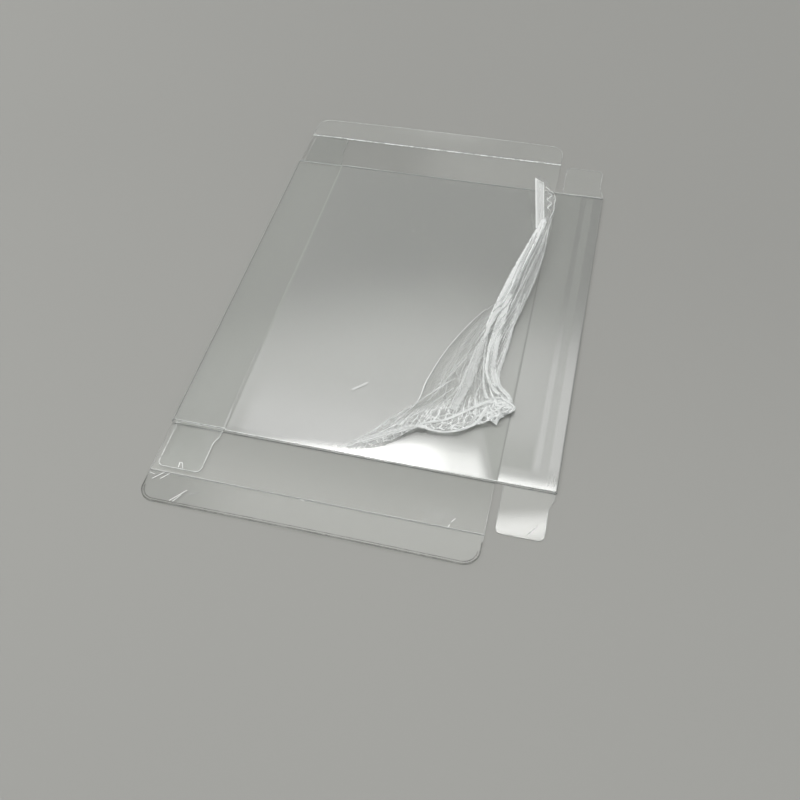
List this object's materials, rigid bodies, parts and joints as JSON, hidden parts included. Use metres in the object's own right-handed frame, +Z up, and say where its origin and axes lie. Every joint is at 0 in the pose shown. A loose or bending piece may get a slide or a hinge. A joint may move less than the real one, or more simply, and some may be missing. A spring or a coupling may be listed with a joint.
{
  "type": "folding box protector",
  "caption": "Clear plastic tuck-end box folded flat, with hinged tuck flaps, lips and dust flaps, and a thin protective film half peeled off and gathered on top.",
  "frame": {"origin": "centre of the underside of the whole flat outline, on the surface it lies on", "axes": "+X across the folded tube, from the edge with the narrow top panel to the glued edge; +Y along the tube, from the near tuck flap to the far one; +Z up"},
  "size_m": [0.16, 0.2498, 0.0154],
  "materials": {
    "clear_sheet": "clear glossy plastic sheet",
    "clear_film": "thin clear film, whitish where it is creased"
  },
  "bodies": {
    "tube": {"sleeve": "clear_sheet", "protective_film": "clear_film"},
    "near_tuck": {"near_tuck_flap": "clear_sheet"},
    "near_lip": {"near_tuck_lip": "clear_sheet"},
    "far_tuck": {"far_tuck_flap": "clear_sheet"},
    "far_lip": {"far_tuck_lip": "clear_sheet"},
    "near_left_dust": {"near_left_dust_flap": "clear_sheet"},
    "far_left_dust": {"far_left_dust_flap": "clear_sheet"},
    "near_right_dust": {"near_right_dust_flap": "clear_sheet"},
    "far_right_dust": {"far_right_dust_flap": "clear_sheet"}
  },
  "joints": [
    {"name": "near_tuck_fold", "type": "hinge", "parent": "tube", "child": "near_tuck", "pos_m": [-0.01175, -0.08815, 0.00017], "axis": [-1, 0, 0], "range_deg": [0, 90]},
    {"name": "near_lip_fold", "type": "hinge", "parent": "near_tuck", "child": "near_lip", "pos_m": [-0.01175, -0.11155, 0.00017], "axis": [-1, 0, 0], "range_deg": [0, 90]},
    {"name": "far_tuck_fold", "type": "hinge", "parent": "tube", "child": "far_tuck", "pos_m": [-0.01175, 0.08815, 0.00017], "axis": [1, 0, 0], "range_deg": [0, 90]},
    {"name": "far_lip_fold", "type": "hinge", "parent": "far_tuck", "child": "far_lip", "pos_m": [-0.01175, 0.11155, 0.00017], "axis": [1, 0, 0], "range_deg": [0, 90]},
    {"name": "near_left_dust_fold", "type": "hinge", "parent": "tube", "child": "near_left_dust", "pos_m": [-0.06825, -0.08715, 0.00128], "axis": [-1, 0, 0], "range_deg": [0, 90]},
    {"name": "far_left_dust_fold", "type": "hinge", "parent": "tube", "child": "far_left_dust", "pos_m": [-0.06825, 0.08715, 0.00128], "axis": [1, 0, 0], "range_deg": [0, 90]},
    {"name": "near_right_dust_fold", "type": "hinge", "parent": "tube", "child": "near_right_dust", "pos_m": [0.06825, -0.08815, 0.00017], "axis": [-1, 0, 0], "range_deg": [0, 90]},
    {"name": "far_right_dust_fold", "type": "hinge", "parent": "tube", "child": "far_right_dust", "pos_m": [0.06825, 0.08815, 0.00017], "axis": [1, 0, 0], "range_deg": [0, 90]}
  ],
  "couplings": [
    {"joint": "near_left_dust_fold", "follows": "near_tuck_fold", "ratio": 1},
    {"joint": "far_left_dust_fold", "follows": "far_tuck_fold", "ratio": 1}
  ]
}
